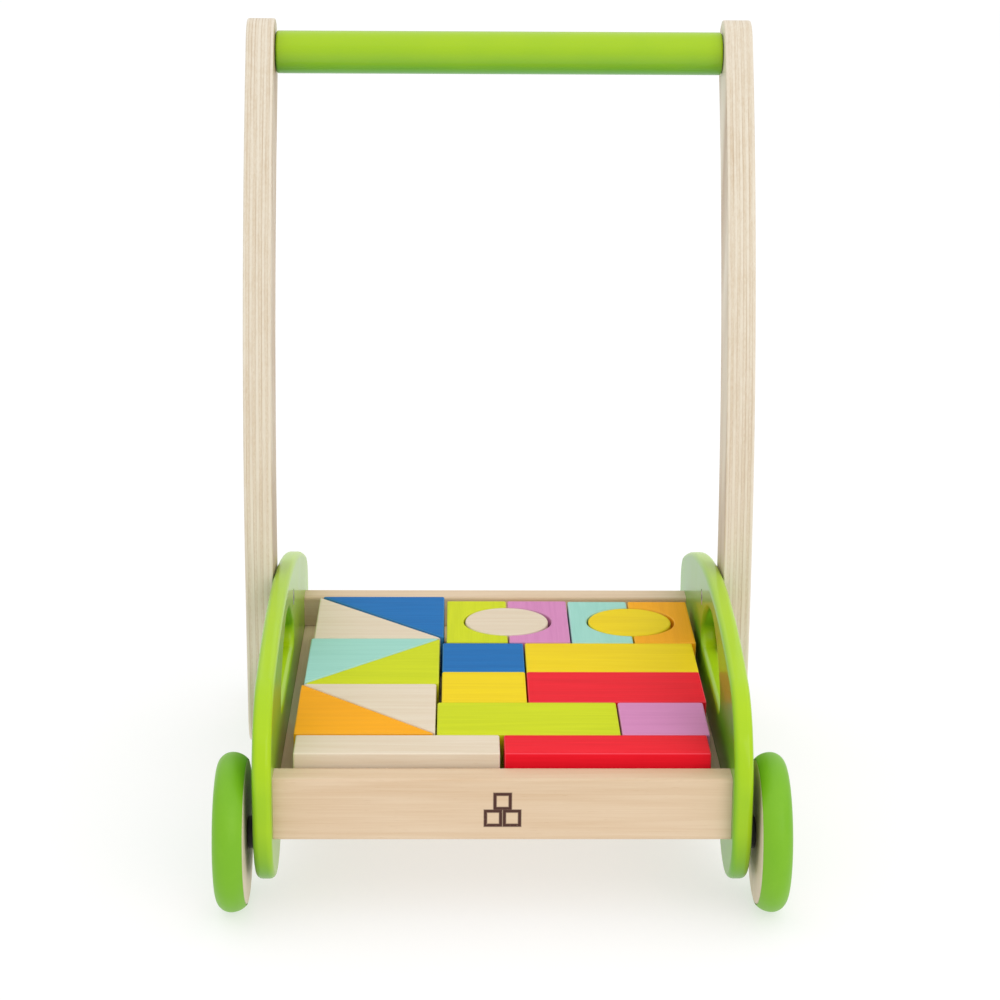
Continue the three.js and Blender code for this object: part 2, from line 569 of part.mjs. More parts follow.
function addWheel(label, side, y) {
  const innerX = side * WHEEL_INNER_X;
  const place = (profile, segments) => turned(profile, segments, innerX, y, AXLE_HEIGHT, side);
  addPart(`${label}_wheel_disc`, place(discProfile(), SEGMENTS.disc), 'natural');
  addPart(`${label}_tyre`, place(tyreProfile(), SEGMENTS.tyre), 'tyreGreen');

  const capRadius = CAP_DIAMETER / 2;
  const capBore = AXLE_DIAMETER / 2 + FIT_GAP;
  const capTop = CAP_START + CAP_LENGTH;
  const capProfile = [
    [capBore, CAP_START], [capRadius, CAP_START], [capRadius, capTop - CAP_RIM_DROP],
    [capRadius - CAP_WALL, capTop - CAP_SHOULDER_DROP], [capRadius - CAP_CROWN_STEP, capTop],
    [0, capTop], [0, capTop - CAP_WALL], [capBore, capTop - CAP_WALL], [capBore, CAP_START],
  ];
  addPart(`${label}_axle_cap`, place(capProfile, SEGMENTS.cap), 'natural');

  const spacerEnd = -RUNNING_GAP;
  const spacerStart = RUNNING_GAP - WHEEL_SIDE_SPACE;
  const spacerRadius = SPACER_DIAMETER / 2;
  const spacerProfile = [
    [AXLE_BORE_RADIUS, spacerStart], [spacerRadius, spacerStart], [spacerRadius, spacerEnd],
    [AXLE_BORE_RADIUS, spacerEnd], [AXLE_BORE_RADIUS, spacerStart],
  ];
  addPart(`${label}_wheel_spacer`, place(spacerProfile, SEGMENTS.drill), 'nylon');
}

function addAxle(name, y) {
  const half = WHEEL_INNER_X + CAP_START + CAP_LENGTH - CAP_WALL - FIT_GAP;
  addPart(name, rodX(AXLE_DIAMETER / 2, -half, half, y, AXLE_HEIGHT), 'steel');
}

// ---------- building blocks ----------
function blockSlab(points) {
  return slab(points, BLOCK_HEIGHT, BLOCK_EDGE_ROUND, 1);
}

function boxBlock(width, depth) {
  return blockSlab(roundedRectangle(0, 0, width - BLOCK_GAP, depth - BLOCK_GAP, BLOCK_CORNER_ROUND));
}

// A half square cut along its diagonal, drawn with the right angle at (-, -) and then turned.
function triangleBlock(quarterTurns) {
  const half = (BLOCK_SQUARE - BLOCK_GAP) / 2;
  const tip = half - BLOCK_GAP * Math.SQRT1_2;
  const corners = [[-half, -half], [tip, -half], [-half, tip]];
  const points = roundedPolygon(corners.map(([x, y]) => new THREE.Vector2(x, y)), BLOCK_CORNER_ROUND);
  return blockSlab(points).rotateZ(quarterTurns * Math.PI / 2);
}

// A bridge with a half-round opening in its +X side (side = 1) or its -X side (side = -1).
function archBlock(side) {
  const width = BRIDGE_WIDTH - BLOCK_GAP;
  const depth = BRIDGE_DEPTH - BLOCK_GAP;
  const open = width / 2;
  const points = [
    new THREE.Vector2(-width / 2, depth / 2),
    new THREE.Vector2(-width / 2, -depth / 2),
    new THREE.Vector2(open, -depth / 2),
    ...arc(open, 0, BRIDGE_RADIUS, 1.5 * Math.PI, Math.PI / 2, BRIDGE_ARC_STEP),
    new THREE.Vector2(open, depth / 2),
  ];
  return blockSlab(outline(points)).rotateZ(side > 0 ? 0 : Math.PI);
}

function discBlock() {
  const radius = BRIDGE_RADIUS - DISC_GAP;
  return blockSlab(outline(arc(0, 0, radius, 0, FULL_TURN)));
}

function addBlock(name, geometry, finish, x, y) {
  const mesh = addPart(`block_${name}`, geometry, finish);
  mesh.position.set(x, y, BLOCK_BASE_Z);
}

function addBlocks() {
  const left = -PLANK_LENGTH - PLANK_SPACE / 2;
  const front = TRAY_FRONT_Y + FIT_GAP + BLOCK_GAP;
  const plankY = front + PLANK_DEPTH / 2;
  const plank = () => boxBlock(PLANK_LENGTH, PLANK_DEPTH);
  addBlock('plank_natural', plank(), 'natural', left + PLANK_LENGTH / 2, plankY);
  addBlock('plank_red', plank(), 'red', left + 1.5 * PLANK_LENGTH + PLANK_SPACE, plankY);

  // Three squares, each halved into two triangles, from the front to the back.
  const squares = [
    ['triangle_orange', 'orange', 0, 'triangle_natural_front', 'natural', 2, 0],
    ['triangle_lime', 'lime', 1, 'triangle_mint', 'mint', 3, 0],
    ['triangle_natural_back', 'natural', 0, 'triangle_blue', 'blue', 2, WIDE_HALVES_GAP],
  ];
  const behindPlanks = front + PLANK_DEPTH;
  squares.forEach(([nameA, finishA, turnA, nameB, finishB, turnB, halvesGap], row) => {
    const x = left + BLOCK_SQUARE / 2 + (row - 1) * SQUARE_STAGGER;
    const y = behindPlanks + SQUARE_PLAY + (row + 0.5) * BLOCK_SQUARE;
    const apart = halvesGap * Math.SQRT1_2;
    addBlock(nameA, triangleBlock(turnA), finishA, x, y);
    addBlock(nameB, triangleBlock(turnB), finishB, x + apart, y + apart);
  });

  // Three rows of a short and a long block.
  const rowsLeft = left + BLOCK_SQUARE - SQUARE_STAGGER;
  const rows = [
    ['long_lime', BLOCK_LONG, 'lime', 'short_lilac', BLOCK_SHORT, 'lilac', 0],
    ['short_yellow', BLOCK_SHORT, 'yellow', 'long_red', BLOCK_LONG, 'red', ROW_STAGGER],
    ['short_blue', BLOCK_SHORT, 'blue', 'long_yellow', BLOCK_LONG, 'yellow', ROW_STAGGER],
  ];
  rows.forEach(([nameA, widthA, finishA, nameB, widthB, finishB, shift], row) => {
    const x = rowsLeft + shift;
    const y = behindPlanks + (row + 0.5) * BLOCK_ROW;
    addBlock(nameA, boxBlock(widthA, BLOCK_ROW), finishA, x + widthA / 2, y);
    addBlock(nameB, boxBlock(widthB, BLOCK_ROW), finishB, x + widthA + widthB / 2, y);
  });

  // Two pairs of bridges, each pair closed round a disc.
  const bridgesY = behindPlanks + 3 * BLOCK_ROW + BRIDGE_DEPTH / 2;
  const bridgesLeft = rowsLeft + 2 * ROW_STAGGER;
  const bridges = [
    ['arch_lime', 'lime', 'arch_lilac', 'lilac', 'disc_natural', 'natural'],
    ['arch_mint', 'mint', 'arch_orange', 'orange', 'disc_yellow', 'yellow'],
  ];
  bridges.forEach(([nameA, finishA, nameB, finishB, discName, discFinish], pair) => {
    const joinX = bridgesLeft + (2 * pair + 1) * BRIDGE_WIDTH;
    const y = bridgesY + (1 - pair) * BRIDGE_STAGGER;
    addBlock(nameA, archBlock(1), finishA, joinX - BRIDGE_WIDTH / 2, y);
    addBlock(nameB, archBlock(-1), finishB, joinX + BRIDGE_WIDTH / 2, y);
    addBlock(discName, discBlock(), discFinish, joinX - DISC_SHIFT, y);
  });
}

// ---------- assembly ----------
for (const [label, side] of [['left', -1], ['right', 1]]) {
  addSidePanel(`${label}_side_panel`, side);
  addHandleArm(label, side);
  addArmFasteners(label, side);
  addBoardScrews(label, side);
  addWheel(`front_${label}`, side, -WHEELBASE / 2);
  addWheel(`rear_${label}`, side, WHEELBASE / 2);
}
addHandleBar();
addBoard('front_board', FRONT_BOARD_Y, 1);
addBoard('back_board', BACK_BOARD_Y, -1);
addTrayFloor();
addAxle('front_axle', -WHEELBASE / 2);
addAxle('rear_axle', WHEELBASE / 2);
addBlocks();

export default walker;
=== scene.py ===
# %% [markdown]
# # A wooden push-along baby walker
# The walker is a shallow tray between two lacquered side panels, on four wheels with green tyres.
# Two bent plywood arms carry a round push bar, and twenty stained blocks lie in the tray.
# The engineering model is loaded first and stays fixed. Each of its solids gives the place and
# the size of one finer piece, which is made here with the same edges that a maker would sand,
# turn or drill, and which then moves with the body that its solid belongs to.

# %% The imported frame
import json
import math

import bmesh
import bpy
from mathutils import Matrix, Vector

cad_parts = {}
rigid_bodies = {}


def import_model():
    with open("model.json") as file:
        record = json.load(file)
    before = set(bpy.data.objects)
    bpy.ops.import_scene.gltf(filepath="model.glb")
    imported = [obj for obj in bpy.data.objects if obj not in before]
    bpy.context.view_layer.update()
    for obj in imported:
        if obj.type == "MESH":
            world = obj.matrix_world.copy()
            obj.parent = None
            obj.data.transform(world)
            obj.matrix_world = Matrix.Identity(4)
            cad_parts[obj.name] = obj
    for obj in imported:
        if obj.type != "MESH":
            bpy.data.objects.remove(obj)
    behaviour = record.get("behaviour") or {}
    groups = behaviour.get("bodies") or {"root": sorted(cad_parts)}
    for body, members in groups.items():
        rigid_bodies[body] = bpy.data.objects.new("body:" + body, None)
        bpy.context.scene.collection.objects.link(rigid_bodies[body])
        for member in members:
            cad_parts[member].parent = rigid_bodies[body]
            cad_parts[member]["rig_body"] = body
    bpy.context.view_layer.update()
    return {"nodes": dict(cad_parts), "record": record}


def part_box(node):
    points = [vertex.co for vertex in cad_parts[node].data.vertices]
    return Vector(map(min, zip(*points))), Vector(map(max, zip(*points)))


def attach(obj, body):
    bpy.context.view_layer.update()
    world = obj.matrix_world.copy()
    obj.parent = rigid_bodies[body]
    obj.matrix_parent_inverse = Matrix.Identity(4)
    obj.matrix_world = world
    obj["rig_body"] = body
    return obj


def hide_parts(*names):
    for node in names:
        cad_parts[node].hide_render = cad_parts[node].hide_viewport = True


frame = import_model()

MM = 0.001
X_AXIS, Y_AXIS, Z_AXIS = Vector((1, 0, 0)), Vector((0, 1, 0)), Vector((0, 0, 1))
SLOT_OF = {part["node"]: part["material_slot"] for part in frame["record"]["subparts"]}

# %% [markdown]
# ## The camera
# A walker of this kind is shown from straight ahead and a little above, from about four times
# its own depth away, so that the push bar, the block layout and the front board all read at once.
# The place and the three angles are set as plain turns about the world axes: first the roll,
# then the tilt down from the horizontal, then the small turn to the side.

# %% Camera
CAMERA_PLACE = Vector((-0.0217, -1.3420, 0.5643))
CAMERA_TILT, CAMERA_TURN, CAMERA_ROLL = (math.radians(a) for a in (16.404, 0.94, 0.374))
camera = bpy.data.objects.new("camera", bpy.data.cameras.new("camera"))
camera.data.sensor_width = 36.0
camera.data.lens = 95.07
camera.data.clip_end = 60.0
camera.matrix_world = (
    Matrix.Translation(CAMERA_PLACE)
    @ Matrix.Rotation(-CAMERA_TURN, 4, "Z")
    @ Matrix.Rotation(math.pi / 2 - CAMERA_TILT, 4, "X")
    @ Matrix.Rotation(CAMERA_ROLL, 4, "Z")
)
bpy.context.scene.collection.objects.link(camera)
bpy.context.scene.camera = camera
print("camera", tuple(round(v, 3) for v in CAMERA_PLACE))

# %% [markdown]
# ## Writing a finish as a sum
# A procedural finish is mostly arithmetic on a few noise fields. Wiring each Math node by hand
# hides that, so a small class wraps a socket and lets Python's own operators add the nodes.
# Colours can't go through Math nodes, which would turn them grey, so they have their own mixer.

# %% Values and finishes
class Value:
    """A socket in a finish: arithmetic on it adds one Math node for each operator."""

    def __init__(self, finish, socket):
        self.finish, self.socket = finish, socket

    def math(self, operation, *others):
        return self.finish.node("ShaderNodeMath", {"operation": operation}, [self, *others])

    def __add__(self, other):
        return self.math("ADD", other)

    def __sub__(self, other):
        return self.math("SUBTRACT", other)

    def __mul__(self, other):
        return self.math("MULTIPLY", other)

    def __rsub__(self, other):
        return self.finish.node("ShaderNodeMath", {"operation": "SUBTRACT"}, [other, self])

    def __abs__(self):
        return self.math("ABSOLUTE")

    __radd__ = __add__
    __rmul__ = __mul__

    def between(self, low, high):
        """0 below low and 1 above high, with a smooth step between them."""
        settings = {"interpolation_type": "SMOOTHSTEP"}
        return self.finish.node("ShaderNodeMapRange", settings, [self, low, high, 0.0, 1.0])


def linear(code):
    """A colour such as 9bcd2d, as printed on a paint chart, in the light values a shader needs."""
    parts = [int(code[i:i + 2], 16) / 255 for i in (0, 2, 4)]
    return (*[v / 12.92 if v <= 0.04045 else ((v + 0.055) / 1.055) ** 2.4 for v in parts], 1.0)


class Finish:
    """A material on one Principled shader."""

    def __init__(self, name, **constants):
        self.material = bpy.data.materials.new(name)
        self.material.use_nodes = True
        self.tree = self.material.node_tree
        self.shader = self.tree.nodes["Principled BSDF"]
        self.set(**constants)

    def plug(self, socket, value):
        if isinstance(value, Value):
            self.tree.links.new(value.socket, socket)
        else:
            socket.default_value = value

    def node(self, kind, settings=None, inputs=(), output=0):
        """Adds a node: its settings first, then its sockets by place or by name."""
        made = self.tree.nodes.new(kind)
        for key, value in (settings or {}).items():
            setattr(made, key, value)
        named = inputs.items() if isinstance(inputs, dict) else enumerate(inputs)
        for key, value in named:
            self.plug(made.inputs[key], value)
        return Value(self, made.outputs[output])

    def mix(self, amount, a, b):
        """The colour a where amount is 0 and b where it is 1."""
        settings = {"data_type": "RGBA", "clamp_factor": True}
        return self.node("ShaderNodeMix", settings, {0: amount, 6: a, 7: b}, output=2)

    def place(self, shift=(0, 0, 0), turn=(0, 0, 0), scale=(1, 1, 1)):
        """The piece's own coordinates in metres, shifted, turned in degrees and then scaled."""
        own = self.node("ShaderNodeTexCoord", output=3)
        turned = self.node("ShaderNodeMapping", None,
                           {"Vector": own, "Location": shift, "Rotation": [math.radians(a) for a in turn]})
        return self.node("ShaderNodeMapping", None, {"Vector": turned, "Scale": scale})

    def noise(self, where, scale, detail=2.0, roughness=0.5, distortion=0.0):
        inputs = {"Vector": where, "Scale": scale, "Detail": detail,
                  "Roughness": roughness, "Distortion": distortion}
        return self.node("ShaderNodeTexNoise", None, inputs)

    def split(self, vector):
        """The three numbers of a vector."""
        parts = self.node("ShaderNodeSeparateXYZ", None, [vector]).socket.node
        return [Value(self, parts.outputs[i]) for i in range(3)]

    def bump(self, height, distance, strength=1.0):
        inputs = {"Height": height, "Distance": distance, "Strength": strength}
        self.set(Normal=self.node("ShaderNodeBump", None, inputs))

    def set(self, **sockets):
        for name, value in sockets.items():
            self.plug(self.shader.inputs[name.replace("_", " ")], value)


# %% [markdown]
# ## Wood
# Every unpainted piece is a pale close-grained wood such as beech, lime or birch. Three things
# make it read as wood: slow growth bands that follow the length of the board, fine fibres, and
# short darker pores. All three are noise that is stretched along the grain, so a face across the
# grain shows them as dots, as a sawn end does. A stain only tints the same wood.

# %% Wood and stain
GRAIN_STRETCH = 0.045
BAND_SCALE, FIBRE_SCALE, PORE_SCALE, CLOUD_SCALE = 60.0, 1500.0, 2600.0, 22.0
BAND_COUNT = 46.0
PORE_START, PORE_FULL = 0.66, 0.76
EDGE_START, EDGE_FULL = 0.03, 0.22


def wood_figure(finish, turn, shift, stretch=GRAIN_STRETCH):
    """Bands, fibres and pores, each from 0 to 1, with the grain along X after the turn."""
    along = finish.place(shift, turn, (stretch, 1, 1))
    field = finish.noise(along, BAND_SCALE, 2.5, 0.45, 0.4)
    bands = (field * BAND_COUNT).math("SINE") * 0.5 + 0.5
    fibres = finish.noise(finish.place(shift, turn, (stretch * 0.5, 1, 1)), FIBRE_SCALE, 3.0, 0.6)
    pores = finish.noise(finish.place(shift, turn, (stretch * 1.6, 1, 1)), PORE_SCALE, 1.0)
    return bands, fibres, pores.between(PORE_START, PORE_FULL)


def edge_mask(finish):
    """1 where a rounded edge turns away from the flat faces of a squared piece."""
    nx, ny, nz = (abs(n) for n in finish.split(finish.node("ShaderNodeNewGeometry", output=1)))
    return (1.0 - nx.math("MAXIMUM", ny).math("MAXIMUM", nz)).between(EDGE_START, EDGE_FULL)


def wood(name, pale, dark, turn, shift, figure=1.0, edge=None, rough=0.5, specular=0.35):
    """A wooden finish: pale wood, its darker grain, and a sanded colour for the edges."""
    finish = Finish(name, Specular_IOR_Level=specular)
    bands, fibres, pores = wood_figure(finish, turn, shift)
    cloud = finish.noise(finish.place(shift, turn, (0.3, 1, 1)), CLOUD_SCALE, 2.0)
    amount = (bands * 0.22 + (fibres - 0.5) * 0.75 + (cloud - 0.5) * 0.5 + 0.12) * figure
    colour = finish.mix(amount, linear(pale), linear(dark))
    colour = finish.mix(pores * (0.25 * figure), colour, linear(dark))
    if edge:
        colour = finish.mix(edge_mask(finish) * (fibres * 0.5 + 0.3), colour, linear(edge))
    finish.set(Base_Color=colour, Roughness=fibres * 0.16 + (rough - 0.08))
    finish.bump(fibres * 0.7 + bands * 0.3 - pores * 0.6, 0.05 * MM, 0.5 * figure)
    return finish


NATURAL = ("e4d6c2", "cfb695")
STAINS = {
    "natural_wood": (*NATURAL, "eee2cf"),
    "blue_stain": ("0f70b9", "0b579b", "5597d2"),
    "yellow_stain": ("f2d506", "dcb903", "f6e34c"),
    "lime_stain": ("d0da10", "b5c30a", "dfe552"),
    "red_stain": ("f0142a", "d20a1c", "f45e6e"),
    "orange_stain": ("fbad06", "e59402", "fbc052"),
    "mint_stain": ("a2d8cd", "88c5b9", "bbe4da"),
    "lilac_stain": ("d68bbe", "c073a8", "e0a6d0"),
}
print("stains:", ", ".join(STAINS))

# %% [markdown]
# ## Plywood
# The arms are cut from thick birch plywood, and their edges face the viewer. Nine plies lie across
# the thickness, with every second one turned end-grain out: it is a little darker and speckled,
# and each glue line is a thin brown line. Since all the plies are flat sheets across X, the ply
# number comes straight from the X coordinate, however the arm bends.

# %% Plywood with its plies showing
PLY_COUNT = 9
GLUE_LINE = 0.07
LONG_GRAIN_SCALE, END_GRAIN_SCALE, WOBBLE_SCALE = 1100.0, 1500.0, 30.0
PLY_BAND_COUNT = 40.0


def plywood(name, inner_x, thickness):
    finish = Finish(name, Specular_IOR_Level=0.4)
    x = finish.split(finish.place())[0]
    ply = (x - inner_x) * (PLY_COUNT / thickness)
    within = ply.math("FRACT")
    line = abs(within - 0.5).between(0.5 - GLUE_LINE * 1.6, 0.5 - GLUE_LINE * 0.4)
    wobble = finish.noise(finish.place(scale=(40, 1, 0.25)), WOBBLE_SCALE, 2.0)
    odd = (ply * 0.5).math("FRACT").between(0.495, 0.505)
    long_grain = finish.noise(finish.place(scale=(1, 1, 0.02)), LONG_GRAIN_SCALE, 3.0, 0.6)
    end_grain = finish.noise(finish.place(scale=(1, 0.05, 0.35)), END_GRAIN_SCALE, 2.0, 0.6)
    growth = finish.noise(finish.place(scale=(1, 1, 0.05)), BAND_SCALE, 2.0)
    bands = (growth * PLY_BAND_COUNT).math("SINE")
    streak = long_grain * (1.0 - odd) + end_grain * odd
    amount = (streak - 0.5) * 0.9 + (wobble - 0.5) * 0.9 + odd * 0.22 + bands * 0.06 + 0.12
    colour = finish.mix(amount, linear("e4dac8"), linear("c9b292"))
    colour = finish.mix(line * wobble.between(0.3, 0.75) * 0.75, colour, linear("ab8a66"))
    finish.set(Base_Color=colour, Roughness=streak * 0.15 + 0.42)
    finish.bump(streak * 0.6 - line * 0.8, 0.06 * MM, 0.5)
    return finish


# %% [markdown]
# ## Lacquer, tyres and metal
# The side panels and the push bar are sprayed with a high-gloss lime lacquer. Its colour is painted
# light and shade: a yellower lit green where it faces up and towards the light, and a greener shaded
# green where it faces away. It lets a hint of the grain show, and it has the fine ripple of sprayed
# paint under a clear coat. The tyres are a satin moulded rubber of a deeper green, with a faint
# dusting of wear all over.

# %% Lacquer, rubber, steel and nylon
PEEL_SCALE, RIPPLE = 420.0, 0.02 * MM


def lacquer(name, lit, shade, grain_turn):
    finish = Finish(name, Coat_Weight=0.3, Coat_Roughness=0.06, Specular_IOR_Level=0.16)
    nx, ny, nz = finish.split(finish.node("ShaderNodeNewGeometry", output=1))
    # Painted light and shade: the lit green where the face turns up, forwards and to the right, the shaded
    # green where it turns away.
    painted_light_facing = (nz * 0.55 - ny * 0.35 + nx * 0.25).between(-0.45, 0.75)
    cloud = finish.noise(finish.place(), 30.0, 3.0, 0.6)
    colour = finish.mix(painted_light_facing + (cloud - 0.5) * 0.25, linear(shade), linear(lit))
    fibres, pores = wood_figure(finish, grain_turn, (0.3, 0.1, 0.7))[1:]
    peel = finish.noise(finish.place(), PEEL_SCALE, 2.0)
    finish.set(Base_Color=colour, Roughness=cloud * 0.1 + 0.3)
    finish.bump(peel * 0.8 + fibres * 0.2 - pores * 0.25, RIPPLE, 0.35)
    return finish


def rubber(name, colour, worn):
    finish = Finish(name, Specular_IOR_Level=0.3)
    cloud = finish.noise(finish.place(), 55.0, 3.0, 0.6)
    speck = finish.noise(finish.place(), 1800.0, 2.0, 0.6)
    wear = (cloud - 0.42) * 0.8 + (speck - 0.5) * 0.3
    finish.set(Base_Color=finish.mix(wear, linear(colour), linear(worn)), Roughness=cloud * 0.2 + 0.34)
    finish.bump(speck, 0.03 * MM, 0.4)
    return finish


def metal(name, colour, rough):
    finish = Finish(name, Metallic=1.0)
    turning = finish.noise(finish.place(scale=(6, 1, 1)), 700.0, 2.0)
    bright = finish.mix(turning, linear(colour), linear("d8d9da"))
    finish.set(Base_Color=bright, Roughness=turning * 0.2 + rough)
    finish.bump(turning, 0.01 * MM, 0.4)
    return finish


def nylon(name):
    finish = Finish(name, Specular_IOR_Level=0.35)
    cloud = finish.noise(finish.place(), 300.0, 2.0)
    # The near-black colour is partly painted shade: it stands in for the dark gap between the wheel and the
    # panel.
    finish.set(Base_Color=finish.mix(cloud, linear("2c2c2c"), linear("1f1f1f")), Roughness=cloud * 0.1 + 0.4)
    finish.bump(cloud, 0.02 * MM, 0.3)
    return finish


# Each lacquer is given a painted lit green and a painted shade green.
panel_finish = lacquer("panel_lacquer", "abd00f", "64aa22", (0, 0, 90))
handle_finish = lacquer("handle_lacquer", "a4ca18", "5fa833", (0, 0, 0))
tyre_finish = rubber("tyre_rubber", "76b31c", "8ac22c")
steel_finish = metal("bright_steel", "b4b6b8", 0.22)
dark_steel_finish = metal("dark_steel", "4c4a45", 0.32)
gap_shade_nylon_finish = nylon("black_nylon_and_gap_shade")
print("finishes so far:", len(bpy.data.materials))

# %% [markdown]
# ## How a piece is made
# Most pieces begin as a flat outline, just as they are cut from a board: straight strokes and
# swings about a centre are drawn with the spin operator, the loop is filled and pushed up to
# its thickness, and only then are the sharp rims rounded, as with sandpaper. Turned pieces are a
# half profile spun round the axle. Holes are drilled last with a boolean, which keeps their rims
# crisp, and a weighted-normal modifier keeps the flat faces flat in the light.

# %% Drawing, cutting, drilling and turning
RIM_ANGLE = math.radians(40)
WELD = 1e-6


def draw(start, strokes, axis, step=5.0):
    """A closed wire of strokes: each is a point to run to, or (centre, degrees) to swing round."""
    bm = bmesh.new()
    first = tip = bm.verts.new(start)
    for stroke in strokes:
        if isinstance(stroke, Vector):
            point = bm.verts.new(stroke)
            bm.edges.new((tip, point))
            tip = point
            continue
        centre, degrees = stroke
        swung = bmesh.ops.spin(bm, geom=[tip], cent=centre, axis=axis, angle=math.radians(degrees),
                               steps=max(2, math.ceil(abs(degrees) / step)))
        tip = next(g for g in swung["geom_last"] if isinstance(g, bmesh.types.BMVert))
    bm.edges.new((tip, first))
    bmesh.ops.remove_doubles(bm, verts=bm.verts, dist=WELD)
    return bm


def sharp_edges(bm, limit=RIM_ANGLE):
    return [e for e in bm.edges if len(e.link_faces) == 2 and e.calc_face_angle(0) > limit]


def soften(bm, edges, radius, segments=4):
    """Rounds the edges to the radius."""
    bmesh.ops.bevel(bm, geom=edges, offset=radius, offset_type="OFFSET", affect="EDGES",
                    segments=segments, profile=0.5, clamp_overlap=False, material=-1, loop_slide=True)
    bmesh.ops.recalc_face_normals(bm, faces=bm.faces)
    return bm


def thicken(bm, push):
    """Fills a closed wire and pushes the face along, which leaves a closed plate."""
    faces = bmesh.ops.contextual_create(bm, geom=bm.edges[:])["faces"]
    raised = bmesh.ops.extrude_face_region(bm, geom=faces)["geom"]
    bmesh.ops.translate(bm, vec=push, verts=[g for g in raised if isinstance(g, bmesh.types.BMVert)])
    bmesh.ops.recalc_face_normals(bm, faces=bm.faces)
    return bm


def rod(bm, start, end, radius, segments=48):
    """Adds a round rod, or a drill, between two points."""
    run = end - start
    stand = run.to_track_quat("Z", "Y").to_matrix().to_4x4()
    bmesh.ops.create_cone(bm, cap_ends=True, segments=segments, radius1=radius, radius2=radius,
                          depth=run.length, matrix=Matrix.Translation((start + end) / 2) @ stand)
    return bm


def brick(low, high):
    """A squared piece between two corners."""
    bm = bmesh.new()
    stretch = Matrix.Diagonal((*(high - low), 1))
    bmesh.ops.create_cube(bm, size=1.0, matrix=Matrix.Translation((low + high) / 2) @ stretch)
    return bm


def turn_on_lathe(bm, centre, steps=96):
    """Spins a wire profile once round the X axis through the centre."""
    bmesh.ops.spin(bm, geom=bm.verts[:] + bm.edges[:], cent=centre, axis=X_AXIS,
                   angle=math.tau, steps=steps, use_merge=True)
    bmesh.ops.remove_doubles(bm, verts=bm.verts, dist=WELD)
    bmesh.ops.recalc_face_normals(bm, faces=bm.faces)
    return bm


def drill(bm, cutter):
    """The piece less the cutter, by an exact boolean."""
    objects = []
    for label, made in (("blank", bm), ("cutter", cutter)):
        mesh = bpy.data.meshes.new(label)
        made.to_mesh(mesh)
        made.free()
        objects.append(bpy.data.objects.new(label, mesh))
        bpy.context.scene.collection.objects.link(objects[-1])
    blank, tool = objects
    cut = blank.modifiers.new("cut", "BOOLEAN")
    cut.operation, cut.solver, cut.object = "DIFFERENCE", "EXACT", tool
    result = bmesh.new()
    result.from_object(blank, bpy.context.evaluated_depsgraph_get())
    for made in objects:
        bpy.data.meshes.remove(made.data)
    bmesh.ops.dissolve_degenerate(result, edges=result.edges[:], dist=WELD)
    return result


def fit(node, bm, finish):
    """Makes the mesh the visible piece for one CAD solid, on that solid's body."""
    mesh = bpy.data.meshes.new(f"{node}_made")
    bm.to_mesh(mesh)
    bm.free()
    mesh.materials.append(finish.material)
    mesh.shade_smooth()
    mesh.set_sharp_from_angle(angle=RIM_ANGLE)
    piece = bpy.data.objects.new(f"{node}_made", mesh)
    bpy.context.scene.collection.objects.link(piece)
    even = piece.modifiers.new("even_shading", "WEIGHTED_NORMAL")
    even.keep_sharp = True
    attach(piece, frame["nodes"][node]["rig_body"])
    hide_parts(node)


# %% [markdown]
# ## The side panels
# Each side is one lacquered board: a long crown that is highest near the front and slopes down to
# the rear, a wide front shoulder, a tight rear one, two lobes round the axles and a hollow
# underside, with a half-moon window near the front. The outline is one wire of swings that runs
# once round from the middle of the underside. The window is sawn out before the rims are rounded, so
# the same sanding goes round it. The axle holes, the screw pockets and the seats for the sleeve
# nuts are drilled last.

# %% Side panels
CROWN_RADIUS, CROWN_Y, LOBE_RADIUS = 0.46, -25 * MM, 38 * MM
FRONT_SHOULDER, REAR_SHOULDER = 50 * MM, 20 * MM
UNDERSIDE_RISE, UNDERSIDE_RADIUS, UNDERSIDE_FILLET = 22 * MM, 0.5, 30 * MM
WINDOW_MIDDLE_Y, WINDOW_ARC, WINDOW_TALL = -28 * MM, 72 * MM, 34 * MM
WINDOW_BELOW_TOP, WINDOW_CORNER = 12.5 * MM, 7 * MM
PANEL_ROUND, DRILL_PLAY, DRILL_REACH = 3 * MM, 0.4 * MM, 10 * MM
SCREW_SEAT, NUT_SEAT, SAW_REACH = 3.8 * MM, 1.9 * MM, 2 * MM


def circles_meet(a, radius_a, b, radius_b):
    """Where two circles in the YZ plane cross, on the left of the line from a to b."""
    between = b - a
    gap = between.length
    along = (radius_a ** 2 - radius_b ** 2 + gap ** 2) / (2 * gap)
    across = math.sqrt(radius_a ** 2 - along ** 2)
    unit = between / gap
    return a + unit * along + X_AXIS.cross(unit) * across


def bearing(centre, point):
    """The angle from a centre to a point in the YZ plane, in degrees."""
    return math.degrees(math.atan2(point.z - centre.z, point.y - centre.y))


def shoulder_centre(crown, reach, radius, side):
    """The centre of a shoulder that touches both the end of the panel and the crown."""
    y = side * (reach - radius)
    rise = math.sqrt((CROWN_RADIUS - radius) ** 2 - (y - crown.y) ** 2)
    return Vector((crown.x, y, crown.z + rise))


